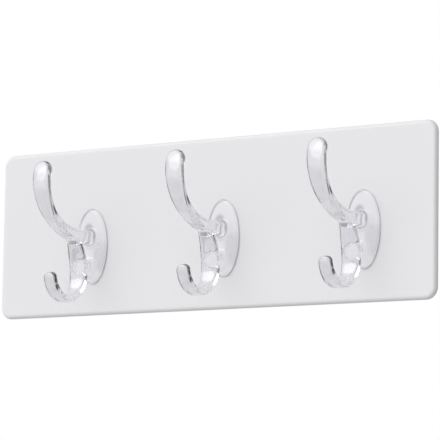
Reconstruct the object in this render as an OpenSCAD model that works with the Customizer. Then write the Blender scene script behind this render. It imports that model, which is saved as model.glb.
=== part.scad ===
// Wall coat rack: a moulded board with three clear double hooks, held to the wall by foam tape.
// Millimetres, +Z up. The wall is the plane Y = 0 and the rack stands out from it along -Y.
// The origin is on the wall, behind the middle of the board.

/* [Board] */
// Width of the board along X
board_width = 300; // [280:1:400]
// Height of the board along Z
board_height = 100; // [96:1:140]
// Thickness of the board
board_thickness = 3; // [3:0.1:6]
// Radius of the four corners seen from the front
board_corner = 7; // [4:0.5:16]
// Radius that rounds the front edge
board_edge = 2.4; // [0.6:0.1:2.6]

/* [Hook row] */
// Distance of the left hook's middle from the board's left end
left_margin = 68.5; // [20:0.5:80]
// Distance of the right hook's middle from the board's right end
right_margin = 45.5; // [20:0.5:80]
// Drop of the hook bases below the board's middle
row_drop = 9.3; // [0:0.1:12]

/* [Hook base] */
// Width of the oval base
base_width = 21.4; // [20:0.2:30]
// Height of the oval base
base_height = 45.2; // [44:0.2:60]
// Thickness of the oval base
base_thickness = 2.7; // [2.4:0.1:4]
// Radius that rounds the front rim of the base
base_edge = 1.6; // [0.6:0.1:2]
// Radius that blends each post into the base
root_fillet = 2; // [0.5:0.1:3]

/* [Upper arm] */
// Diameter of the arm where it leaves the base
arm_root = 8.8; // [7:0.2:11]
// Height of the arm's root above the middle of the base
arm_height = 4.5; // [2:0.1:8]
// Straight length of the root, from the back of the base
arm_neck = 10.4; // [8:0.1:14]
// Reach of the tip from the back of the base
arm_reach = 50.7; // [44:0.1:62]
// Rise of the tip above the root, up to where its round end begins
arm_rise = 34.5; // [28:0.1:44]
// Pull of the root's direction on the curve of the arm
arm_root_pull = 29.2; // [20:0.2:34]
// Pull of the tip's direction on the curve of the arm
arm_tip_pull = 19; // [12:0.5:24]
// Lean of the tip towards the wall
arm_lean = 10; // [0:1:16]
// Thickness of the arm half way along its curve
arm_waist = 4.5; // [4.4:0.1:7]
// Width of the arm at its tip
arm_tip_width = 12.3; // [9:0.1:16]
// Thickness of the arm at its tip
arm_tip_thickness = 5.2; // [4.6:0.1:8]
// Radius that rounds the long edges of the arm
arm_edge = 1.3; // [0.8:0.1:2]
// Length of the arm's round end
arm_tip_round = 5.8; // [3:0.2:7]

/* [Lower hook] */
// Diameter of the short post behind the strap
post_diameter = 8.8; // [6:0.2:10]
// Drop of the post below the middle of the base
post_drop = 13.2; // [10:0.1:16]
// Distance of the strap's middle from the back of the base
strap_standoff = 13.4; // [11:0.1:16]
// Width of the strap between the arm and the bowl
strap_width = 11.2; // [10.4:0.1:14]
// Thickness of the strap
strap_thickness = 4.6; // [4:0.1:6]
// Radius that rounds the long edges of the strap
strap_edge = 1.2; // [0.8:0.1:1.8]
// Radius of the strap's lean towards the arm
strap_lean = 44; // [40:1:60]
// Drop of the bowl's centre below the middle of the base
bowl_drop = 19.5; // [18:0.5:24]
// Radius of the bowl along the middle of the strap
bowl_radius = 13.9; // [11:0.1:18]
// Angle at which the bowl ends, below the level of its centre
bowl_end = 11; // [0:1:40]
// Width of the bowl's tip
bowl_tip_width = 8.2; // [7:0.1:12]
// Thickness of the bowl's tip
bowl_tip_thickness = 4.2; // [3.6:0.1:6]
// Length of the bowl's round end
bowl_tip_round = 3; // [2:0.1:5]

/* [Adhesive] */
// Thickness of the pad behind a hook
pad_thickness = 0.8; // [0.4:0.1:2]
// Margin of the pad inside the outline of the base
pad_margin = 0.4; // [0:0.1:4]
// Thickness of the wall tape
tape_thickness = 1; // [0.5:0.1:3]
// Width of a strip of wall tape
tape_width = 25; // [12:1:50]
// Margin of the tape above and below, inside the board's outline
tape_margin = 6; // [3:0.5:20]
// Distance of the outer strips from the board's ends
tape_inset = 20; // [5:1:40]

/* [Hidden] */
$fn = 64;
// Points round each section of the arm and the strap, a multiple of four, and round the oval base
section_points = 24;
oval_points = 64;
SIDES = ["left", "middle", "right"];

// Distances from the wall to the face that each layer stands on
board_face = tape_thickness + board_thickness;
hook_face = board_face + pad_thickness;

// Places along X
hook_spacing = (board_width - left_margin - right_margin) / 2;
hook_x = [for (i = [0:2]) i * hook_spacing + left_margin - board_width / 2];
tape_x = [for (i = [-1:1]) i * (board_width / 2 - tape_inset - tape_width / 2)];
tape_length = board_height - 2 * tape_margin;

// Angle of the strap where it runs into the arm
strap_top = asin((arm_height + bowl_drop - 0.6) / strap_lean);
// Middle weight that gives the arm its waist half way along
arm_middle = (4 * arm_waist - arm_root - arm_tip_thickness) / 2;

// Section of width w and thickness t, its corners rounded to radius r; its straight sides keep w and t
function section(w, t, r) = let (e = min(r, w / 2, t / 2), c = e / cos(180 / section_points)) [
    for (k = [0:section_points - 1])
        let (a = 360 * (k + 0.5) / section_points)
        [sign(cos(a)) * (w / 2 - e) + c * cos(a), sign(sin(a)) * (t / 2 - e) + c * sin(a)]
];

// A station is [out, up, angle, width, thickness, corner radius]; its ring stands across the path
function ring(s) = [
    for (p = section(s[3], s[4], s[5]))
        [p[0], s[1] + cos(s[2]) * p[1], s[0] - sin(s[2]) * p[1]]
];

// Half thickness at a distance in from an outline whose edge has radius r
function edge_half(half, r, inside) = half - r + sqrt(r * r - pow(max(0, r - inside), 2));

// Stations that close the last station s with an end that is half an ellipse seen flat
function round_end(s, length) = [
    for (k = [1:9])
        let (
            a = k < 7 ? 12 * k : 72 + 5 * (k - 6),
            half = edge_half(s[4] / 2, s[5], length * (1 - sin(a)))
        )
        [
            s[0] + cos(s[2]) * length * sin(a),
            s[1] + sin(s[2]) * length * sin(a),
            s[2], s[3] * cos(a), 2 * half, s[5]
        ]
];

// Cubic curve through four points
function curve(p, t) = pow(1 - t, 3) * p[0] + 3 * pow(1 - t, 2) * t * p[1]
    + 3 * (1 - t) * t * t * p[2] + t * t * t * p[3];

// Direction of that curve
function slope(p, t) = pow(1 - t, 2) * (p[1] - p[0]) + 2 * (1 - t) * t * (p[2] - p[1])
    + t * t * (p[3] - p[2]);

// Oval ring of the base, at a distance in from its outline
function oval(inset, out) = [
    for (k = [0:oval_points - 1])
        let (a = 360 * k / oval_points)
        [(base_width / 2 - inset) * cos(a), (base_height / 2 - inset) * sin(a), out]
];

// Closed skin over rings that have the same number of points
module skin(rings) {
    count = len(rings[0]);
    last = len(rings) - 1;
    sides = [
        for (i = [0:last - 1], j = [0:count - 1])
            let (a = i * count, b = a + count, k = (j + 1) % count)
            each [[a + j, b + j, b + k], [a + j, b + k, a + k]]
    ];
    first_end = [[for (j = [0:count - 1]) j]];
    last_end = [[for (j = [count - 1:-1:0]) last * count + j]];
    polyhedron([for (r = rings) each r], concat(sides, first_end, last_end), convexity = 6);
}

// Turns a shape drawn facing +Z to face away from the wall, at a distance from it
module facing_out(distance) {
    translate([0, -distance, 0])
        rotate([90, 0, 0])
            children();
}

// Section of the board's rim, from the straight inner part to the rounded front edge
module rim_section() {
    square([board_corner - board_edge, board_thickness]);
    square([board_corner, board_thickness - board_edge]);
    translate([board_corner - board_edge, board_thickness - board_edge])
        intersection() {
            circle(board_edge);
            square(board_edge);
        }
}

// Straight rim along the board's right side, for half of its length on each side of the middle
module straight_rim(half) {
    rotate([90, 0, 0])
        translate([0, 0, -half])
            linear_extrude(2 * half)
                rim_section();
}

module back_board() {
    corner_x = board_width / 2 - board_corner;
    corner_z = board_height / 2 - board_corner;
    color([0.88, 0.88, 0.89])
        facing_out(tape_thickness) {
            translate([-corner_x, -corner_z, 0])
                cube([2 * corner_x, 2 * corner_z, board_thickness]);
            for (turn = [0, 180])
                rotate([0, 0, turn]) {
                    translate([corner_x, 0, 0])
                        straight_rim(corner_z);
                    rotate([0, 0, 90])
                        translate([corner_z, 0, 0])
                            straight_rim(corner_x);
                    translate([corner_x, corner_z, 0])
                        rotate_extrude(angle = 90)
                            rim_section();
                    translate([-corner_x, corner_z, 0])
                        rotate([0, 0, 90])
                            rotate_extrude(angle = 90)
                                rim_section();
                }
        }
}

module wall_tape(i) {
    color([0.93, 0.93, 0.91])
        facing_out(0)
            translate([tape_x[i] - tape_width / 2, -tape_length / 2, 0])
                cube([tape_width, tape_length, tape_thickness]);
}

module hook_pad(i) {
    color([0.95, 0.95, 0.96])
        facing_out(board_face)
            translate([hook_x[i], -row_drop, 0])
                skin([oval(pad_margin, 0), oval(pad_margin, pad_thickness)]);
}

module hook_base() {
    rim = base_thickness - base_edge;
    skin(concat(
        [oval(0, 0)],
        [
            for (k = [0:6])
                let (a = 15 * k)
                oval(base_edge * (1 - cos(a)), rim + base_edge * sin(a))
        ]
    ));
}

module upper_arm() {
    tip = arm_height + arm_rise;
    path = [
        [arm_neck, arm_height],
        [arm_neck + arm_root_pull, arm_height],
        [arm_reach + arm_tip_pull * sin(arm_lean), tip - arm_tip_pull * cos(arm_lean)],
        [arm_reach, tip]
    ];
    wide = arm_root + 2 * root_fillet;
    root = concat(
        [[base_thickness / 2, arm_height, 0, wide, wide, wide / 2]],
        [
            for (k = [0:5])
                let (a = 18 * k, d = arm_root + 2 * root_fillet * (1 - sin(a)))
                [base_thickness + root_fillet * (1 - cos(a)), arm_height, 0, d, d, d / 2]
        ]
    );
    neck = [
        for (k = [1:3])
            let (
                out = base_thickness + root_fillet + (arm_neck - base_thickness - root_fillet) * k / 4,
                s = out / arm_neck
            )
            [out, arm_height, 0, arm_root, arm_root,
                arm_edge + (arm_root / 2 - arm_edge) * (1 - s * s * (3 - 2 * s))]
    ];
    bend = [
        for (k = [0:28])
            let (
                t = k / 28,
                p = curve(path, t),
                d = slope(path, t),
                w = arm_root + (arm_tip_width - arm_root) * pow(t, 1.3),
                h = pow(1 - t, 2) * arm_root + 2 * t * (1 - t) * arm_middle + t * t * arm_tip_thickness,
                r = arm_edge + (0.48 * arm_tip_thickness - arm_edge) * pow(max(0, 5 * t - 4), 2)
            )
            [p[0], p[1], atan2(d[1], d[0]), w, h, r]
    ];
    stations = concat(root, neck, bend, round_end(bend[28], arm_tip_round));
    skin([for (s = stations) ring(s)]);
}

module lower_post() {
    translate([0, -post_drop, base_thickness / 2])
        cylinder(d = post_diameter, h = strap_standoff - base_thickness / 2);
    translate([0, -post_drop, base_thickness])
        rotate_extrude()
            difference() {
                square([post_diameter / 2 + root_fillet, root_fillet]);
                translate([post_diameter / 2 + root_fillet, root_fillet])
                    circle(root_fillet);
            }
}

module strap() {
    bowl_out = strap_standoff + bowl_radius;
    spine = [
        for (k = [0:10])
            let (
                s = k / 10,
                a = strap_top * (1 - s),
                w = strap_width - (strap_width - arm_root + 1) * pow(1 - s, 3)
            )
            [strap_standoff + strap_lean * (1 - cos(a)), strap_lean * sin(a) - bowl_drop,
                atan2(-cos(a), -sin(a)), w, strap_thickness, strap_edge]
    ];
    bowl = [
        for (k = [1:20])
            let (
                s = k / 20,
                a = 180 + s * (180 - bowl_end),
                w = bowl_tip_width + (strap_width - bowl_tip_width) * pow(1 - s, 2),
                h = strap_thickness + (bowl_tip_thickness - strap_thickness) * s
            )
            [bowl_out + bowl_radius * cos(a), bowl_radius * sin(a) - bowl_drop,
                a - 270, w, h, strap_edge]
    ];
    stations = concat(spine, bowl, round_end(bowl[19], bowl_tip_round));
    skin([for (s = stations) ring(s)]);
}

module hook(i) {
    color([0.86, 0.9, 0.93, 0.5])
        facing_out(hook_face)
            translate([hook_x[i], -row_drop, 0]) {
                hook_base();
                upper_arm();
                lower_post();
                strap();
            }
}

back_board();
for (i = [0:2]) {
    wall_tape(i);
    hook_pad(i);
    hook(i);
}
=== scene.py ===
"""Wall coat rack with clear double hooks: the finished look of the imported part.

The file is laid out as a Blender add-on and is run as a script. Everything is in metres, in the
part's own frame: the wall is the plane Y = 0, the hooks point along -Y and +Z is up.
"""

import math

import bpy
import numpy as np
from bpy.props import FloatProperty, FloatVectorProperty, PointerProperty
from mathutils import Matrix, Vector


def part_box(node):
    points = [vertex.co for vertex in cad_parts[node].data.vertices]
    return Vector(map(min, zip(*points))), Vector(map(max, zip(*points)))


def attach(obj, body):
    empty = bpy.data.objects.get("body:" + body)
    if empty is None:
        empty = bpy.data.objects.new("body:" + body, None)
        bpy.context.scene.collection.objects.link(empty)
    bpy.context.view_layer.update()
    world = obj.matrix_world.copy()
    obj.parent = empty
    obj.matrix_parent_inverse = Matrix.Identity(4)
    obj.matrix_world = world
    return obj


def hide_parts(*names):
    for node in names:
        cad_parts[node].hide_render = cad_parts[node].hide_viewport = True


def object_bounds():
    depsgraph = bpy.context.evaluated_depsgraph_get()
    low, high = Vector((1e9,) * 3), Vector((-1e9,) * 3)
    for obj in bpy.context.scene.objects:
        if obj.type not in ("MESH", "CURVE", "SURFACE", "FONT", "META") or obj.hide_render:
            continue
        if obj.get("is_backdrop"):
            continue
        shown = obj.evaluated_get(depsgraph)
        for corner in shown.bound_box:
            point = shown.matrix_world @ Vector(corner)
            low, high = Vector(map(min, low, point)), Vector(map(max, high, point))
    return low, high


bl_info = {
    "name": "Wall coat rack",
    "version": (1, 0, 0),
    "blender": (4, 5, 0),
    "location": "View3D > Sidebar > Coat rack",
    "description": "Builds a wall coat rack with clear hooks around its solid model",
    "category": "Add Mesh",
}

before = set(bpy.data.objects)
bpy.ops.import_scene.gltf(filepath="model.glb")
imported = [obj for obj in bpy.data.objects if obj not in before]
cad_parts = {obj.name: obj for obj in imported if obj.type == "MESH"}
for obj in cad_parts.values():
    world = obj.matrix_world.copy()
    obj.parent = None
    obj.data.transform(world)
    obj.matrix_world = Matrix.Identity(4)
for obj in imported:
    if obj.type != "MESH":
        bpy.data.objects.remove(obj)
cad_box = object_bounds()

MM = 0.001
# Keeps a division from meeting zero
TINY = 1e-9
SIDES = ("left", "middle", "right")
# Steps round one corner of the board, over its front edge and over its back edge
BOARD_CORNER_STEPS, FRONT_EDGE_STEPS, BACK_EDGE_STEPS = 17, 15, 5
# Steps round one corner of the tape, round a pad's outline and through a cut edge
TAPE_CORNER_STEPS, PAD_STEPS, CUT_EDGE_STEPS = 5, 96, 9
# Share of a strip's half width past which its crown falls no further
CROWN_LIMIT = 1.2
# Samples of the arm's curve, and Newton's steps from the best of them
CURVE_SAMPLES, NEWTON_STEPS = 65, 5
# Power with which the arm widens along its curve, and share of its tip's thickness that its edge takes
ARM_WIDENING, ARM_TIP_EDGE = 1.3, 0.48
# Share of the full blend that joins the strap to the rest of the hook
STRAP_BLEND = 0.4
# Free space that the grid leaves round a hook, in mesh steps; with 3.0 an edge is pinched at the strap's top
SKIN_MARGIN = 3.3
# Rounds that even out the faces of a hook's skin
EVEN_ROUNDS = 4
# Sockets of a Mix node that mixes colours: its two colours and its result
MIX_FIRST, MIX_SECOND, MIXED = 6, 7, 2
# Cards round the rack that the clear hooks show: azimuth, elevation, inner and outer angle, strength
CARDS = (
    (-15, 18, 25, 60, 1.1),
    (0, -90, 60, 85, 0.3),
    (-100, -35, 30, 50, 0.6),
    (-70, 4, 12, 24, 0.25),
    (-43, -26, 13, 20, 0.0),
    (-72, -54, 12, 19, 0.0),
    (95, -8, 35, 60, 0.1),
    (-140, -38, 22, 36, 0.75),
)
# Soft box that the clear hooks show: azimuth, elevation, inner and outer angle
SOFT_BOX = (-35, 42, 22, 32)
# Ray depth past which light has been thrown about inside a hook and no longer shows the soft box
SOFT_BOX_DEPTH = 4.5
# Way from the rack to the key light, and the light's apparent size in degrees
KEY_FROM, KEY_SIZE = (-0.5, -0.77, 0.4), 60
# Point that the camera looks at, in millimetres, and how far it sees, in metres
LOOK_AT, SIGHT = (6.289, -1.0, 2.076), 20.0
# Patches of painted shade on a pad's front, as shares of its half size: middle across and up, half width and
# half height
# Painted shadow of the hook's strap and post, on the lower right of each pad
STRAP_SHADOW_PATCH = (0.67, -0.29, 0.67, 0.53)
# Painted shade round the arm's root
ROOT_SHADE_PATCH = (-0.2, 0.38, 0.42, 0.3)
# Where a patch fades out and where it is full, as shares of its half size
PATCH_FADE, PATCH_FULL = 1.05, 0.5
# Ring of painted shade along a pad's front edge, under the base's rim: where it starts and where it is full,
# as shares of the half size
EDGE_SHADE_START, EDGE_SHADE_FULL = 0.935, 0.962
# On its left, below this share of the half height, the ring holds only this share of its painted shade
FAINT_EDGE_BELOW, FAINT_EDGE_SHARE = 0.3, 0.4


def linear(code):
    """Linear colour with alpha 1 of an sRGB hex code such as E5E5E7."""
    srgb = np.array([int(code[i:i + 2], 16) for i in (0, 2, 4)]) / 255
    low = srgb / 12.92
    high = ((srgb + 0.055) / 1.055) ** 2.4
    return (*np.where(srgb <= 0.04045, low, high).tolist(), 1.0)


def length(name, description, millimetres):
    """A length property with its default given in millimetres."""
    return FloatProperty(name=name, description=description, default=millimetres * MM,
                         min=0.0, unit="LENGTH", precision=5)


def colour(name, description, code):
    """A colour property with its default given as an sRGB hex code."""
    return FloatVectorProperty(name=name, description=description, size=4, min=0.0, max=1.0,
                               subtype="COLOR", default=linear(code))


class BoardSettings(bpy.types.PropertyGroup):
    """Sizes and colour of the board; its outline comes from the solid model."""

    corner: length("Corner radius", "Radius of the corners seen from the front", 7.0)
    edge: length("Edge radius", "Radius that rounds the front edge", 2.4)
    back_edge: length("Back edge radius", "Radius that breaks the back edge", 0.3)
    flat_rim: length("Flat rim", "Width of the flat ring inside the rounded front edge", 1.5)
    tint: colour("Board colour", "Light cool grey of the moulding", "E5E5E7")


class AdhesiveSettings(bpy.types.PropertyGroup):
    """Sizes and colours of the pads behind the hooks and of the wall tape."""

    bulge: length("Edge bulge", "How far a cut edge stands proud of its faces", 0.15)
    wetting: length("Wetting", "How far a pad's soft face stands into the base that it wets", 0.04)
    pad_rim: length("Pad rim", "Width of the flat ring along the edge of a pad", 1.5)
    tape_corner: length("Tape corner", "Radius of the corners of a strip of tape", 0.8)
    tape_rim: length("Tape rim", "Width of the flat ring along the edge of a strip of tape", 0.4)
    pad_tint: colour("Pad colour", "Milky white gel", "FDFDFF")
    # Painted shadow of the hook's strap and post on each pad
    pad_strap_shadow_tint: colour("Strap shadow colour", "Gel where it has wetted the board", "EAEAED")
    # Painted shade round the arm's root, on each pad
    pad_root_shade_tint: colour("Root shade colour", "Gel where air is trapped behind the arm's root", "C6C6CA")
    # Painted shade along each pad's front edge, under the base's rim
    pad_edge_shade_tint: colour("Edge shade colour", "Dusty front edge of a pad", "CCCCD0")
    tape_tint: colour("Tape colour", "White closed-cell foam", "EFEFEA")


class HookSettings(bpy.types.PropertyGroup):
    """Sizes and colour of one clear hook, measured from the back of its base."""

    base_width: length("Base width", "Width of the oval base", 21.4)
    base_height: length("Base height", "Height of the oval base", 45.2)
    base_thickness: length("Base thickness", "Thickness of the oval base", 2.7)
    base_edge: length("Base edge", "Radius that rounds the front rim of the base", 1.6)
    base_back_edge: length("Base back edge", "Radius that rounds the back rim of the base", 0.6)
    blend: length("Blend", "Size of the blends where base, post, arm and strap meet", 3.0)
    arm_root: length("Arm root", "Diameter of the arm where it leaves the base", 8.8)
    arm_height: length("Arm height", "Height of the arm's root above the base's middle", 4.5)
    arm_neck: length("Arm neck", "Straight length of the arm's root", 10.4)
    arm_reach: length("Arm reach", "Reach of the upright tip", 50.7)
    arm_rise: length("Arm rise", "Rise of the tip above the root", 34.5)
    arm_root_pull: length("Root pull", "Pull of the root's direction on the arm's curve", 29.2)
    arm_tip_pull: length("Tip pull", "Pull of the tip's direction on the arm's curve", 19.0)
    arm_lean: FloatProperty(name="Arm lean", description="Lean of the arm's tip towards the wall",
                            default=math.radians(10), min=0.0, max=0.6, subtype="ANGLE")
    arm_waist: length("Arm waist", "Thickness of the arm half way along its curve", 4.5)
    arm_tip_width: length("Arm tip width", "Width of the arm at its tip", 12.3)
    arm_tip_thickness: length("Arm tip thickness", "Thickness of the arm at its tip", 5.2)
    arm_tip_round: length("Arm tip round", "Length of the arm's round end", 5.8)
    post_diameter: length("Post diameter", "Diameter of the short lower post", 8.8)
    post_drop: length("Post drop", "Drop of the lower post below the base's middle", 13.2)
    standoff: length("Strap standoff", "Distance of the strap's middle from the base's back", 13.4)
    strap_width: length("Strap width", "Width of the strap above the bowl", 11.2)
    strap_thickness: length("Strap thickness", "Thickness of the strap", 4.6)
    strap_lean: length("Strap lean", "Radius of the strap's lean towards the arm", 44.0)
    strap_top_drop: length("Strap top drop", "Drop of the strap's top below the arm's middle", 0.6)
    strap_top_inset: length("Strap top inset", "How much narrower its top is than the arm's root", 1.0)
    strap_top_round: length("Strap top round", "Length of the strap's round top", 1.0)
    bowl_drop: length("Bowl drop", "Drop of the bowl's centre below the base's middle", 19.5)
    bowl_radius: length("Bowl radius", "Radius of the bowl along the strap's middle", 13.9)
    bowl_tip_width: length("Bowl tip width", "Width of the bowl's tip", 8.2)
    bowl_tip_thickness: length("Bowl tip thickness", "Thickness of the bowl's tip", 4.2)
    bowl_tip_round: length("Bowl tip round", "Length of the bowl's round end", 3.0)
    bowl_end: FloatProperty(name="Bowl end", description="Angle of the bowl's end below its centre",
                            default=math.radians(11), min=0.0, max=1.2, subtype="ANGLE")
    crown: length("Crown", "How far the faces of arm and strap fall away towards their edges", 0.35)
    arm_back_crown: length("Arm back crown", "The same for the face of the arm towards the wall", 0.95)
    arm_edge: length("Arm edge", "Radius that rounds the long edges of the arm", 1.3)
    strap_edge: length("Strap edge", "Radius that rounds the long edges of the strap", 1.2)
    mesh_step: length("Mesh step", "Size of the skin's faces", 0.36)
    tint: colour("Plastic colour", "Clear, barely cool plastic", "F5F5F8")


class StageSettings(bpy.types.PropertyGroup):
    """Camera, light and floor."""

    lens: FloatProperty(name="Lens", description="Focal length on a 36 mm wide sensor", default=221.89,
                        min=20.0, unit="CAMERA")
    distance: length("Distance", "Distance from the camera to the point it looks at", 1567.9)
    azimuth: FloatProperty(name="Azimuth", description="Camera's turn to the right of the rack's front",
                           default=math.radians(33.267), subtype="ANGLE")
    elevation: FloatProperty(name="Elevation", description="Camera's height above the level of the rack",
                             default=math.radians(-7.402), subtype="ANGLE")
    roll: FloatProperty(name="Roll", description="Lean of the camera", default=math.radians(0.889),
                        subtype="ANGLE")
    floor_drop: length("Floor drop", "Depth of the floor under the rack's middle", 900.0)
    floor_half: length("Floor half size", "Half the side of the square floor", 4000.0)
    key: FloatProperty(name="Key light", description="Strength of the soft light from the upper left",
                       default=1.86, min=0.0)
    ambient: FloatProperty(name="Ambient light", description="Strength of the light from all around",
                           default=0.55, min=0.0)
    soft_box: FloatProperty(name="Soft box", description="Extra strength of the soft box in reflections",
                            default=2.4, min=0.0)
    room: FloatProperty(name="Room", description="Strength of the pale room in reflections", default=0.8,
                        min=0.0)
    floor_tint: colour("Floor colour", "Pale floor", "F5F5F5")


def node(tree, kind, inputs=None, **settings):
    """Adds one node: settings are its own values, inputs are socket values or sockets to link."""
    made = tree.nodes.new(kind)
    for key, value in settings.items():
        setattr(made, key, value)
    for key, value in (inputs or {}).items():
        if isinstance(value, bpy.types.NodeSocket):
            tree.links.new(value, made.inputs[key])
        else:
            made.inputs[key].default_value = value
    return made


def empty_material(name):
    """A new material without any nodes, and its node tree."""
    material = bpy.data.materials.new(name)
    material.use_nodes = True
    material.node_tree.nodes.clear()
    return material, material.node_tree


def moulded_abs(tint):
    """Light grey ABS, injection moulded in a finely blasted tool: an even satin face.

    The blast marks are about 0.2 mm wide, drawn at 0.5 mm so that they show."""
    material, tree = empty_material("moulded_abs")
    place = node(tree, "ShaderNodeTexCoord").outputs["Object"]
    grit = node(tree, "ShaderNodeTexNoise", {"Vector": place, "Scale": 1 / (0.5 * MM), "Detail": 2.0})
    cloud = node(tree, "ShaderNodeTexNoise", {"Vector": place, "Scale": 1 / (30 * MM), "Detail": 3.0})
    rough = node(tree, "ShaderNodeMapRange", {
        "Value": cloud.outputs["Fac"], "To Min": 0.42, "To Max": 0.54})
    bump = node(tree, "ShaderNodeBump", {
        "Height": grit.outputs["Fac"], "Strength": 0.12, "Distance": 0.05 * MM})
    surface = node(tree, "ShaderNodeBsdfPrincipled", {
        "Base Color": tuple(tint), "Roughness": rough.outputs["Result"], "IOR": 1.53,
        "Specular IOR Level": 0.3, "Normal": bump.outputs["Normal"]})
    node(tree, "ShaderNodeOutputMaterial", {"Surface": surface.outputs["BSDF"]})
    return material


def clear_polycarbonate(tint):
    """Water-clear polycarbonate from a polished tool: glassy, with faint flow ripples 6 mm long."""
    material, tree = empty_material("clear_polycarbonate")
    place = node(tree, "ShaderNodeTexCoord").outputs["Object"]
    ripple = node(tree, "ShaderNodeTexNoise", {"Vector": place, "Scale": 1 / (6 * MM), "Detail": 1.0})
    bump = node(tree, "ShaderNodeBump", {
        "Height": ripple.outputs["Fac"], "Strength": 0.05, "Distance": 0.2 * MM})
    surface = node(tree, "ShaderNodeBsdfPrincipled", {
        "Base Color": tuple(tint), "Roughness": 0.0, "IOR": 1.58,
        "Transmission Weight": 1.0, "Normal": bump.outputs["Normal"]})
    node(tree, "ShaderNodeOutputMaterial", {"Surface": surface.outputs["BSDF"]})
    return material


def pad_patch(tree, place, across, up, half_width, half_height):
    """Oval patch on a pad's front: 1 near its middle and 0 past its rim, with a smooth step between.

    What is stepped is the distance from the patch's middle, as a share of its half size."""
    grow = np.array([1 / half_width, 1 / half_height, 0.0])
    shift = -np.array([across, up, 0.0]) * grow
    apart = node(tree, "ShaderNodeVectorMath", {0: place, 1: tuple(grow), 2: tuple(shift)},
                 operation="MULTIPLY_ADD")
    apart = node(tree, "ShaderNodeVectorMath", {0: apart.outputs["Vector"]}, operation="LENGTH")
    near = node(tree, "ShaderNodeMapRange", {
        "Value": apart.outputs["Value"], "From Min": PATCH_FADE, "From Max": PATCH_FULL},
        interpolation_type="SMOOTHSTEP")
    return near.outputs["Result"]


def milky_acrylic_gel(tint, strap_shadow_tint, root_shade_tint, edge_shade_tint):
    """Milky acrylic gel, cast and cut: pale and softly glossy, with grey patches of painted shade and
    painted shade along its front edge.

    The patches are a painted shadow of the hook's strap and post, and painted shade round the arm's
    root. The place of a pad's points runs from -1 to 1 across and up the pad; its third number is the
    share of the front edge's painted shade that the pad takes near there."""
    material, tree = empty_material("milky_acrylic_gel")
    spot = node(tree, "ShaderNodeTexCoord").outputs["Object"]
    cloud = node(tree, "ShaderNodeTexNoise", {"Vector": spot, "Scale": 1 / (4 * MM), "Detail": 2.0})
    rough = node(tree, "ShaderNodeMapRange", {
        "Value": cloud.outputs["Fac"], "To Min": 0.25, "To Max": 0.4})
    place = node(tree, "ShaderNodeAttribute", attribute_name="place").outputs["Vector"]
    flat = node(tree, "ShaderNodeVectorMath", {0: place, 1: (1.0, 1.0, 0.0)}, operation="MULTIPLY")
    apart = node(tree, "ShaderNodeVectorMath", {0: flat.outputs["Vector"]}, operation="LENGTH")
    # Painted shade along the front edge, scaled by the share that each point takes
    ring = node(tree, "ShaderNodeMapRange", {
        "Value": apart.outputs["Value"], "From Min": EDGE_SHADE_START, "From Max": EDGE_SHADE_FULL},
        interpolation_type="SMOOTHSTEP")
    held = node(tree, "ShaderNodeSeparateXYZ", {"Vector": place})
    edge_shade = node(tree, "ShaderNodeMath", {0: ring.outputs["Result"], 1: held.outputs["Z"]},
                operation="MULTIPLY")
    # Painted shadow of the strap and post, painted shade round the arm's root, painted shade along the front
    # edge
    layers = (
        (pad_patch(tree, place, *STRAP_SHADOW_PATCH), strap_shadow_tint),
        (pad_patch(tree, place, *ROOT_SHADE_PATCH), root_shade_tint),
        (edge_shade.outputs["Value"], edge_shade_tint),
    )
    shade = tuple(tint)
    for factor, over in layers:
        mix = node(tree, "ShaderNodeMix", {
            "Factor": factor, MIX_FIRST: shade, MIX_SECOND: tuple(over)}, data_type="RGBA")
        shade = mix.outputs[MIXED]
    surface = node(tree, "ShaderNodeBsdfPrincipled", {
        "Base Color": shade, "Roughness": rough.outputs["Result"], "IOR": 1.47})
    node(tree, "ShaderNodeOutputMaterial", {"Surface": surface.outputs["BSDF"]})
    return material


def foam_tape(tint):
    """White polyethylene foam tape, slit from a roll: matt, with cells about 0.4 mm wide."""
    material, tree = empty_material("foam_tape")
    place = node(tree, "ShaderNodeTexCoord").outputs["Object"]
    cells = node(tree, "ShaderNodeTexVoronoi", {"Vector": place, "Scale": 1 / (0.4 * MM)})
    shade = node(tree, "ShaderNodeMapRange", {
        "Value": cells.outputs["Distance"], "To Min": 1.0, "To Max": 0.9})
    mixed = node(tree, "ShaderNodeVectorMath", {0: tuple(tint)[:3], "Scale": shade.outputs["Result"]},
                 operation="SCALE")
    bump = node(tree, "ShaderNodeBump", {
        "Height": cells.outputs["Distance"], "Strength": 0.5, "Distance": 0.1 * MM})
    surface = node(tree, "ShaderNodeBsdfPrincipled", {
        "Base Color": mixed.outputs["Vector"], "Roughness": 0.75, "Normal": bump.outputs["Normal"]})
    node(tree, "ShaderNodeOutputMaterial", {"Surface": surface.outputs["BSDF"]})
    return material


def new_piece(name, points, face_sets, material):
    """Smooth mesh object at the origin, from points and from arrays of faces with equal corner counts."""
    mesh = bpy.data.meshes.new(name)
    mesh.vertices.add(len(points))
    mesh.vertices.foreach_set("co", np.asarray(points, np.float32).ravel())
    corners = np.concatenate([faces.ravel() for faces in face_sets]).astype(np.int32)
    totals = np.concatenate([np.full(len(faces), faces.shape[1]) for faces in face_sets])
    mesh.loops.add(len(corners))
    mesh.loops.foreach_set("vertex_index", corners)
    mesh.polygons.add(len(totals))
    mesh.polygons.foreach_set("loop_start", np.r_[0, np.cumsum(totals)[:-1]].astype(np.int32))
    mesh.update(calc_edges=True)
    mesh.validate()
    mesh.shade_smooth()
    mesh.materials.append(material)
    piece = bpy.data.objects.new(name, mesh)
    bpy.context.scene.collection.objects.link(piece)
    return piece


def settle(piece, node_name):
    """Puts a finished piece on the rack in place of its plain solid."""
    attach(piece, "root")
    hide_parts(node_name)


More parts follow.
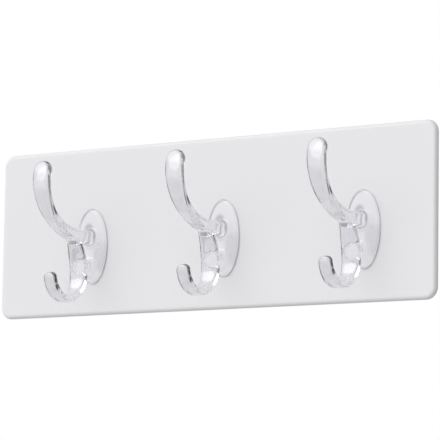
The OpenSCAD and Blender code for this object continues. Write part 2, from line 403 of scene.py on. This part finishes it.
def rounded_rectangle(centre, half_width, half_height, radius, steps):
    """Outline points and outward normals: four quarter circles joined by straight sides."""
    turn = np.radians(np.linspace(0, 90, steps)[None, :] + 90 * np.arange(4)[:, None])
    normal = np.stack([np.cos(turn), np.sin(turn)], -1)
    signs = np.array([[1, 1], [-1, 1], [-1, -1], [1, -1]])[:, None, :]
    middle = signs * (np.array([half_width, half_height]) - radius)
    points = centre + middle + radius * normal
    return points.reshape(-1, 2), normal.reshape(-1, 2)


def oval(centre, half_width, half_height, steps):
    """Outline points of an ellipse, and its normals from the gradient of its equation."""
    turn = np.linspace(0, 2 * np.pi, steps, endpoint=False)
    points = np.stack([half_width * np.cos(turn), half_height * np.sin(turn)], -1)
    normal = points / np.array([half_width, half_height]) ** 2
    return centre + points, normal / np.linalg.norm(normal, axis=1, keepdims=True)


def carry_profile(outline, normals, profile, back):
    """Closed slab: each profile point is a ring of the outline, moved in by the profile's inset.

    A profile point is [inset, out]; out is measured along -Y from the plane Y = back. The first
    and the last ring are flat and closed by one face each."""
    ring = outline[None] - profile[:, None, :1] * normals[None]
    depth = np.broadcast_to(back - profile[:, None, 1:], (*ring.shape[:2], 1))
    points = np.concatenate([ring[..., :1], depth, ring[..., 1:]], -1)
    rows, count = ring.shape[:2]
    index = np.arange(rows * count).reshape(rows, count)
    after = np.roll(index, -1, axis=1)
    sides = np.stack([index[:-1], after[:-1], after[1:], index[1:]], -1).reshape(-1, 4)
    ends = np.stack([index[0, ::-1], index[-1]])
    return points.reshape(-1, 3), [sides, ends]


def quarter_turn(start, centre, radius, steps):
    """Points of a quarter circle, as angles from start, in the profile's [inset, out] plane."""
    turn = np.radians(np.linspace(start, start + 90, steps))
    return np.stack([centre[0] + radius * np.cos(turn), centre[1] + radius * np.sin(turn)], -1)


def slab_box(node_name):
    """Middle and half size of a solid across X and Z, and its back and front along Y."""
    low, high = (np.array(corner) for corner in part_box(node_name))
    middle, half = (low + high) / 2, (high - low) / 2
    return middle[[0, 2]], half[[0, 2]], high[1], low[1]


class RACK_OT_board(bpy.types.Operator):
    """Make the board: a rounded rectangle with a rounded front edge"""

    bl_idname = "rack.make_board"
    bl_label = "Make board"

    def execute(self, context):
        sizes = context.scene.rack_board
        middle, half, back, front = slab_box("back_board")
        thickness = back - front
        outline, normals = rounded_rectangle(middle, *half, sizes.corner, BOARD_CORNER_STEPS)
        flat = sizes.edge + sizes.flat_rim
        profile = np.concatenate([
            [[flat, 0.0]],
            quarter_turn(270, (sizes.back_edge, sizes.back_edge), sizes.back_edge, BACK_EDGE_STEPS)[::-1],
            quarter_turn(90, (sizes.edge, thickness - sizes.edge), sizes.edge, FRONT_EDGE_STEPS)[::-1],
            [[flat, thickness]],
        ])
        points, faces = carry_profile(outline, normals, profile, back)
        board = new_piece("board", points, faces, moulded_abs(sizes.tint))
        settle(board, "back_board")
        return {"FINISHED"}


def bulged_profile(thickness, bulge, rim):
    """Profile of a cut edge: an arc of a sine that stands proud half way up, with flat rims beside it."""
    rise = np.linspace(0, 1, CUT_EDGE_STEPS)
    edge = np.stack([bulge * (1 - np.sin(np.pi * rise)), thickness * rise], -1)
    flat = bulge + rim
    return np.concatenate([[[flat, 0.0]], edge, [[flat, thickness]]])


class RACK_OT_wall_tape(bpy.types.Operator):
    """Make the strips of foam tape behind the board"""

    bl_idname = "rack.make_wall_tape"
    bl_label = "Make wall tape"

    def execute(self, context):
        sizes = context.scene.rack_adhesive
        material = foam_tape(sizes.tape_tint)
        for side in SIDES:
            middle, half, back, front = slab_box(f"wall_tape_{side}")
            outline, normals = rounded_rectangle(middle, *half, sizes.tape_corner, TAPE_CORNER_STEPS)
            profile = bulged_profile(back - front, sizes.bulge, sizes.tape_rim)
            points, faces = carry_profile(outline, normals, profile, back)
            strip = new_piece(f"tape_{side}", points, faces, material)
            settle(strip, f"wall_tape_{side}")
        return {"FINISHED"}


class RACK_OT_hook_pads(bpy.types.Operator):
    """Make the milky adhesive pads behind the hooks"""

    bl_idname = "rack.make_hook_pads"
    bl_label = "Make hook pads"

    def execute(self, context):
        sizes = context.scene.rack_adhesive
        material = milky_acrylic_gel(sizes.pad_tint, sizes.pad_strap_shadow_tint, sizes.pad_root_shade_tint,
                                     sizes.pad_edge_shade_tint)
        for side in SIDES:
            middle, half, back, front = slab_box(f"hook_pad_{side}")
            outline, normals = oval(middle, *half, PAD_STEPS)
            profile = bulged_profile(back - front + sizes.wetting, sizes.bulge, sizes.pad_rim)
            points, faces = carry_profile(outline, normals, profile, back)
            pad = new_piece(f"pad_{side}", points, faces, material)
            # Only the two rings of points on the front take the edge's painted shade.
            edge_shading = np.zeros((len(profile), len(outline)))
            across, up = ((outline - middle) / half).T
            edge_shading[-2:] = np.where((across < 0) & (up < FAINT_EDGE_BELOW), FAINT_EDGE_SHARE, 1.0)
            place = np.column_stack([(points[:, [0, 2]] - middle) / half, edge_shading.ravel()])
            layer = pad.data.attributes.new("place", "FLOAT_VECTOR", "POINT")
            layer.data.foreach_set("vector", place.astype(np.float32).ravel())
            settle(pad, f"hook_pad_{side}")
        return {"FINISHED"}


def rounded_corner(beside, above, radius):
    """Distance from two faces that meet in a rounded edge, from the distances past each of them."""
    i, j = beside + radius, above + radius
    return np.hypot(np.maximum(i, 0), np.maximum(j, 0)) + np.minimum(np.maximum(i, j), 0) - radius


def strip_field(across, through, past, half_width, half_thickness, end, edge, crown, back_crown):
    """Distance, to first order, from a strip with rounded edges, crowned faces and a round end.

    Seen flat, the strip's outline is straight up to its end and half an ellipse past it. The
    distance in the flat and the distance through the strip are joined as those of a rounded box,
    whose front and back fall away from their middle by their crowns, as the square of the distance
    across."""
    side, far = np.abs(across) / half_width, np.maximum(past, 0.0) / end
    ring = np.hypot(side, far) + TINY
    slope = np.hypot(side / half_width, far / end) / ring + TINY
    flat = np.where(past > 0, (ring - 1) / slope, np.abs(across) - half_width)
    drop = np.where(through > 0, np.minimum(back_crown, half_thickness - edge), crown)
    fall = drop * np.minimum(side, CROWN_LIMIT) ** 2
    return rounded_corner(flat, np.abs(through) - half_thickness + fall, edge)


def smooth_union(first, second, size):
    """Union of two distances with a blend of the given size: the polynomial smooth minimum."""
    near = np.maximum(size - np.abs(first - second), 0.0) / size
    return np.minimum(first, second) - near * near * size / 4


def base_field(h, x, out, up):
    """Distance from the oval base: an ellipse thickened, its rim rounded in front and a little behind."""
    a, b = h.base_width / 2, h.base_height / 2
    ring = np.sqrt((x / a) ** 2 + (up / b) ** 2) + TINY
    slope = np.sqrt((x / a ** 2) ** 2 + (up / b ** 2) ** 2) / ring + TINY
    front = out > h.base_thickness - h.base_edge
    radius = np.where(front, h.base_edge, h.base_back_edge)
    above = np.where(front, out - h.base_thickness, -out)
    return rounded_corner((ring - 1) / slope, above, radius)


def nearest_on_curve(corners, out, up):
    """Parameter of the nearest point on a cubic curve, and the distances across and along it from there.

    The nearest point is the best of many samples, moved on by Newton's steps."""
    p0, p1, p2, p3 = corners
    c1, c2, c3 = 3 * (p1 - p0), 3 * (p2 - 2 * p1 + p0), p3 - 3 * p2 + 3 * p1 - p0
    point = np.stack(np.broadcast_arrays(out, up), -1)
    t = np.linspace(0, 1, CURVE_SAMPLES)
    samples = p0 + t[:, None] * (c1 + t[:, None] * (c2 + t[:, None] * c3))
    gap = ((point[..., None, :] - samples) ** 2).sum(-1)
    t = t[gap.argmin(-1)][..., None]
    for _ in range(NEWTON_STEPS):
        away = p0 + t * (c1 + t * (c2 + t * c3)) - point
        speed = c1 + t * (2 * c2 + t * 3 * c3)
        turn = 2 * c2 + 6 * t * c3
        top = (away * speed).sum(-1, keepdims=True)
        bottom = (speed * speed + away * turn).sum(-1, keepdims=True)
        t = np.clip(t - top / np.maximum(bottom, TINY), 0, 1)
    away = point - (p0 + t * (c1 + t * (c2 + t * c3)))
    speed = c1 + t * (2 * c2 + t * 3 * c3)
    speed /= np.linalg.norm(speed, axis=-1, keepdims=True)
    through = speed[..., 0] * away[..., 1] - speed[..., 1] * away[..., 0]
    along = (speed * away).sum(-1)
    return t[..., 0], through, along


def arm_field(h, x, out, up):
    """Distance from the upper arm: a round straight neck, then a section carried along a cubic curve.

    The thickness is a quadratic of the curve's parameter through root, waist and tip, and the long edges
    grow rounder over its last fifth. Along the neck the section turns from a circle into that of the
    curve, by a smooth step."""
    tip = h.arm_height + h.arm_rise
    lean_out, lean_down = h.arm_tip_pull * math.sin(h.arm_lean), h.arm_tip_pull * math.cos(h.arm_lean)
    corners = np.array([
        [h.arm_neck, h.arm_height],
        [h.arm_neck + h.arm_root_pull, h.arm_height],
        [h.arm_reach + lean_out, tip - lean_down],
        [h.arm_reach, tip],
    ])
    t, through, along = nearest_on_curve(corners, out, up)
    middle = (4 * h.arm_waist - h.arm_root - h.arm_tip_thickness) / 2
    width = h.arm_root + (h.arm_tip_width - h.arm_root) * t ** ARM_WIDENING
    thickness = (1 - t) ** 2 * h.arm_root + 2 * t * (1 - t) * middle + t * t * h.arm_tip_thickness
    tip_edge = ARM_TIP_EDGE * h.arm_tip_thickness
    edge = h.arm_edge + (tip_edge - h.arm_edge) * np.clip(5 * t - 4, 0, 1) ** 2
    past = np.where(t > 0.5, along, 0)
    curve = strip_field(x, through, past, width / 2, thickness / 2, h.arm_tip_round, edge, h.crown,
                        h.arm_back_crown)
    part = np.clip(out / h.arm_neck, 0, 1)
    round_off = (1 - part * part * (3 - 2 * part)) * (h.arm_root / 2 - h.arm_edge)
    neck = strip_field(x, up - h.arm_height, 0, h.arm_root / 2, h.arm_root / 2, 1, h.arm_edge + round_off,
                       h.crown * part, h.arm_back_crown * part)
    return np.where(out < h.arm_neck, neck, curve)


def strap_field(h, x, out, up):
    """Distance from the strap: a section carried along two arcs that meet at their point nearest the wall.

    The upper arc leans out towards the arm, and the lower one is the bowl with its free end."""
    level = up + h.bowl_drop
    spine_out = out - (h.standoff + h.strap_lean)
    top = math.asin((h.arm_height + h.bowl_drop - h.strap_top_drop) / h.strap_lean)
    turn = np.clip(np.arctan2(level, -spine_out), 0, top)
    width = h.strap_width - (h.strap_width - h.arm_root + h.strap_top_inset) * (turn / top) ** 3
    through = np.hypot(spine_out, level) - h.strap_lean
    past = np.where(turn >= top, level * math.cos(top) + spine_out * math.sin(top), 0)
    spine = strip_field(x, through, past, width / 2, h.strap_thickness / 2, h.strap_top_round,
                        h.strap_edge, h.crown, h.crown)
    bowl_out = out - (h.standoff + h.bowl_radius)
    sweep = np.pi - h.bowl_end
    turn = np.clip(np.mod(np.arctan2(level, bowl_out) - np.pi / 2, 2 * np.pi) - np.pi / 2, 0, sweep)
    s = turn / sweep
    width = h.bowl_tip_width + (h.strap_width - h.bowl_tip_width) * (1 - s) ** 2
    thickness = h.strap_thickness + (h.bowl_tip_thickness - h.strap_thickness) * s
    through = np.hypot(bowl_out, level) - h.bowl_radius
    end = np.pi + sweep
    past = np.where(s >= 1, level * math.cos(end) - bowl_out * math.sin(end), 0)
    bowl = strip_field(x, through, past, width / 2, thickness / 2, h.bowl_tip_round, h.strap_edge,
                       h.crown, h.crown)
    return np.where((level > 0) & (bowl_out < 0), spine, bowl)


def hook_field(h, x, out, up):
    """Distance from the hook, negative inside: base, arm, post and strap blended, with a flat back."""
    arm = np.maximum(arm_field(h, x, out, up), -out)
    post = np.maximum(np.hypot(x, up + h.post_drop) - h.post_diameter / 2,
                      np.maximum(out - h.standoff, -out))
    whole = smooth_union(base_field(h, x, out, up), arm, h.blend)
    whole = smooth_union(whole, post, h.blend)
    whole = smooth_union(whole, strap_field(h, x, out, up), STRAP_BLEND * h.blend)
    return np.maximum(whole, -out)


def zero_skin(field, low, high, step):
    """Closed skin where a field is zero.

    One point stands in each grid cell that the surface crosses, at the mean of the crossings of
    the cell's edges; the four cells round each crossed grid edge make one face."""
    axes = [np.arange(a, b + step, step) for a, b in zip(low, high)]
    values = field(axes[0][:, None, None], axes[1][None, :, None], axes[2][None, None, :])
    inside = values < 0
    cells = [n - 1 for n in values.shape]
    offsets = np.array([[i, j, k] for i in (0, 1) for j in (0, 1) for k in (0, 1)])

    def corner(array, offset):
        return array[tuple(slice(o, o + n) for o, n in zip(offset, cells))]

    filled = sum(corner(inside, o).astype(np.int8) for o in offsets)
    active = (filled > 0) & (filled < 8)
    index = np.full(cells, -1)
    index[active] = np.arange(active.sum())
    where = np.argwhere(active)
    total, crossings = np.zeros((len(where), 3)), np.zeros((len(where), 1))
    for axis in range(3):
        for offset in offsets[offsets[:, axis] == 0]:
            step_on = np.eye(3, dtype=int)[axis]
            first = corner(values, offset)[active]
            second = corner(values, offset + step_on)[active]
            crossed = ((first < 0) != (second < 0))[:, None]
            part = np.where(crossed[:, 0], first / np.where(first == second, 1, first - second), 0)
            total += crossed * (offset + part[:, None] * step_on)
            crossings += crossed
    points = np.array(low) + step * (where + total / crossings)
    faces = []
    for axis in range(3):
        others = [a for a in range(3) if a != axis]
        one, two = (np.eye(3, dtype=int)[a] for a in others)
        stop = [n - 1 if a == axis else n for a, n in enumerate(values.shape)]
        lower = inside[tuple(slice(0, n) for n in stop)]
        upper = inside[tuple(slice(1, n + 1) if a == axis else slice(0, n) for a, n in enumerate(stop))]
        edge = np.argwhere(lower != upper)
        ring = [edge - one - two, edge - two, edge, edge - one]
        quad = np.stack([index[tuple(r.T)] for r in ring], -1)
        # Placing the hook mirrors it: faces whose lower end is inside turn round, for axis 1 the others.
        flip = lower[tuple(edge.T)] != (axis == 1)
        quad[flip] = quad[flip, ::-1]
        faces.append(quad)
    return points, np.concatenate(faces)


def even_out(points, faces, field, step, rounds):
    """Evens the skin's faces: each point moves to the mean of its neighbours, then back onto the field.

    The way back is one Newton step along the field's slope, from central differences."""
    pairs = np.concatenate([faces[:, [i, (i + 1) % 4]] for i in range(4)])
    count = np.bincount(pairs[:, 0], minlength=len(points))[:, None]
    small = step / 20

    def onto(p):
        value = field(*p.T)
        ahead = [field(*(p + small * e).T) for e in np.eye(3)]
        behind = [field(*(p - small * e).T) for e in np.eye(3)]
        slope = (np.stack(ahead, -1) - np.stack(behind, -1)) / (2 * small)
        # The squared slope is about 1. Its floor keeps a point at a kink from being thrown far.
        squared = np.maximum((slope ** 2).sum(1, keepdims=True), 0.05)
        return p - value[:, None] * slope / squared

    for _ in range(rounds):
        total = [np.bincount(pairs[:, 0], points[pairs[:, 1], axis], len(points)) for axis in range(3)]
        points = onto((points + np.stack(total, -1) / count) / 2)
    return onto(points)


class RACK_OT_hooks(bpy.types.Operator):
    """Make the clear hooks, each one closed skin"""

    bl_idname = "rack.make_hooks"
    bl_label = "Make hooks"

    def execute(self, context):
        h = context.scene.rack_hook
        material = clear_polycarbonate(h.tint)

        def field(x, out, up):
            return hook_field(h, x, out, up)

        margin = SKIN_MARGIN * h.mesh_step
        reach = h.arm_reach + h.arm_tip_thickness / 2 + margin
        top = h.arm_height + h.arm_rise + h.arm_tip_round + margin
        bottom = -h.bowl_drop - h.bowl_radius - h.strap_thickness - margin
        side = h.base_width / 2 + margin
        points, faces = zero_skin(field, (-side, -margin, bottom), (side, reach, top), h.mesh_step)
        x, out, up = even_out(points, faces, field, h.mesh_step, EVEN_ROUNDS).T
        for name in SIDES:
            middle, _, _, front = slab_box(f"hook_pad_{name}")
            placed = np.stack([x + middle[0], front - out, up + middle[1]], -1)
            hook = new_piece(f"clear_hook_{name}", placed, [faces], material)
            # A clear hook lets the light through, and a full shadow would look wrong.
            hook.visible_shadow = False
            settle(hook, f"hook_{name}")
        return {"FINISHED"}


def direction(azimuth, elevation):
    """Unit vector to an azimuth, to the right of the rack's front, and an elevation, both in radians."""
    level = math.cos(elevation)
    return Vector((math.sin(azimuth) * level, -math.cos(azimuth) * level, math.sin(elevation)))


def world_patch(tree, ray, azimuth, elevation, inner, outer):
    """Round patch of the world, 1 within the inner angle of its middle and 0 past the outer one.

    All angles are in degrees."""
    middle = direction(math.radians(azimuth), math.radians(elevation))
    near = node(tree, "ShaderNodeVectorMath", {0: ray, 1: tuple(middle)}, operation="DOT_PRODUCT")
    soft = node(tree, "ShaderNodeMapRange", {
        "Value": near.outputs["Value"], "From Min": math.cos(math.radians(outer)),
        "From Max": math.cos(math.radians(inner))}, interpolation_type="SMOOTHSTEP")
    return soft.outputs["Result"]


def pale_floor(s):
    """Square floor far below the rack, kept out of the rack's light and reflections."""
    material, tree = empty_material("pale_floor")
    surface = node(tree, "ShaderNodeBsdfDiffuse", {"Color": tuple(s.floor_tint)})
    node(tree, "ShaderNodeOutputMaterial", {"Surface": surface.outputs["BSDF"]})
    square = np.array([[-1, -1], [1, -1], [1, 1], [-1, 1]]) * s.floor_half
    corners = np.column_stack([square, np.full(4, -s.floor_drop)])
    floor = new_piece("floor", corners, [np.arange(4)[None]], material)
    floor.visible_diffuse = False
    floor.visible_glossy = False
    floor.visible_transmission = False
    floor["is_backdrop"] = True


def studio_world(scene, s):
    """World of even light that shows white to the camera, and cards and a soft box to the clear hooks."""
    scene.world = bpy.data.worlds.new("studio")
    scene.world.use_nodes = True
    tree = scene.world.node_tree
    tree.nodes.clear()
    path = node(tree, "ShaderNodeLightPath").outputs
    ray = node(tree, "ShaderNodeTexCoord").outputs["Generated"]
    seen = path["Is Camera Ray"]
    for kind in ("Is Glossy Ray", "Is Transmission Ray"):
        seen = node(tree, "ShaderNodeMath", {0: seen, 1: path[kind]}, operation="MAXIMUM").outputs[0]
    seen = node(tree, "ShaderNodeMath", {0: seen, 1: path["Diffuse Depth"]}, operation="SUBTRACT",
                use_clamp=True)
    shown = s.room
    for *place, level in CARDS:
        card = world_patch(tree, ray, *place)
        card = node(tree, "ShaderNodeMapRange", {"Value": card, "To Min": shown, "To Max": level})
        shown = card.outputs["Result"]
    short = node(tree, "ShaderNodeMath", {0: path["Ray Depth"], 1: SOFT_BOX_DEPTH}, operation="LESS_THAN")
    short = node(tree, "ShaderNodeMath", {0: short.outputs[0], 1: s.soft_box}, operation="MULTIPLY")
    box = world_patch(tree, ray, *SOFT_BOX)
    shown = node(tree, "ShaderNodeMath", {0: box, 1: short.outputs[0], 2: shown},
                 operation="MULTIPLY_ADD")
    shown = node(tree, "ShaderNodeMapRange", {
        "Value": path["Is Camera Ray"], "To Min": shown.outputs[0], "To Max": 1.0})
    strength = node(tree, "ShaderNodeMapRange", {
        "Value": seen.outputs[0], "To Min": s.ambient, "To Max": shown.outputs["Result"]})
    back = node(tree, "ShaderNodeBackground", {
        "Color": (1, 1, 1, 1), "Strength": strength.outputs["Result"]})
    node(tree, "ShaderNodeOutputWorld", {"Surface": back.outputs["Background"]})


def key_light(scene, s):
    """Soft sun from the upper left, that lights the rack and doesn't show in the clear hooks."""
    key = bpy.data.lights.new("key", "SUN")
    key.energy = s.key
    key.angle = math.radians(KEY_SIZE)
    lamp = bpy.data.objects.new("key", key)
    lamp.rotation_euler = Vector(KEY_FROM).to_track_quat("Z", "Y").to_euler()
    lamp.visible_glossy = False
    lamp.visible_transmission = False
    scene.collection.objects.link(lamp)


def photo_camera(scene, s):
    """Camera at the photo's viewing angle: it stands off from the point it looks at, with a slight roll."""
    camera = bpy.data.cameras.new("camera")
    camera.lens = s.lens
    camera.sensor_width = 36.0
    camera.clip_end = SIGHT
    eye = bpy.data.objects.new("camera", camera)
    away = direction(s.azimuth, s.elevation)
    turn = away.to_track_quat("Z", "Y").to_matrix() @ Matrix.Rotation(s.roll, 3, "Z")
    eye.matrix_world = Matrix.Translation(Vector(LOOK_AT) * MM + away * s.distance) @ turn.to_4x4()
    scene.collection.objects.link(eye)
    scene.camera = eye


class RACK_OT_stage(bpy.types.Operator):
    """Make the floor, the light and the camera"""

    bl_idname = "rack.make_stage"
    bl_label = "Make stage"

    def execute(self, context):
        scene = context.scene
        scene.view_settings.view_transform = "Standard"
        # Light is thrown to and fro many times inside the clear hooks before it leaves them.
        scene.cycles.max_bounces = 32
        scene.cycles.glossy_bounces = 24
        scene.cycles.transmission_bounces = 32
        pale_floor(scene.rack_stage)
        studio_world(scene, scene.rack_stage)
        key_light(scene, scene.rack_stage)
        photo_camera(scene, scene.rack_stage)
        return {"FINISHED"}


class RACK_PT_panel(bpy.types.Panel):
    """Coat rack tools in the 3D view's sidebar"""

    bl_idname = "RACK_PT_panel"
    bl_label = "Coat rack"
    bl_space_type = "VIEW_3D"
    bl_region_type = "UI"
    bl_category = "Coat rack"

    def draw(self, context):
        for operator in OPERATORS:
            self.layout.operator(operator.bl_idname)
        for group in GROUPS:
            box = self.layout.box()
            settings = getattr(context.scene, group)
            for key in settings.__annotations__:
                box.prop(settings, key)


OPERATORS = (RACK_OT_board, RACK_OT_wall_tape, RACK_OT_hook_pads, RACK_OT_hooks, RACK_OT_stage)
GROUPS = {
    "rack_board": BoardSettings,
    "rack_adhesive": AdhesiveSettings,
    "rack_hook": HookSettings,
    "rack_stage": StageSettings,
}


def register():
    """Registers the settings, the operators and the panel."""
    for name, group in GROUPS.items():
        bpy.utils.register_class(group)
        setattr(bpy.types.Scene, name, PointerProperty(type=group))
    for kind in (*OPERATORS, RACK_PT_panel):
        bpy.utils.register_class(kind)


def unregister():
    """Takes back what register added."""
    for kind in reversed((*OPERATORS, RACK_PT_panel)):
        bpy.utils.unregister_class(kind)
    for name, group in reversed(GROUPS.items()):
        delattr(bpy.types.Scene, name)
        bpy.utils.unregister_class(group)


def main():
    """Builds every piece and the stage."""
    register()
    bpy.ops.rack.make_board()
    bpy.ops.rack.make_wall_tape()
    bpy.ops.rack.make_hook_pads()
    bpy.ops.rack.make_hooks()
    bpy.ops.rack.make_stage()
    boxes = {"cad": cad_box, "visual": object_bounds()}
    boxes = {name: [list(map(float, corner)) for corner in box] for name, box in boxes.items()}


if __name__ == "__main__":
    main()
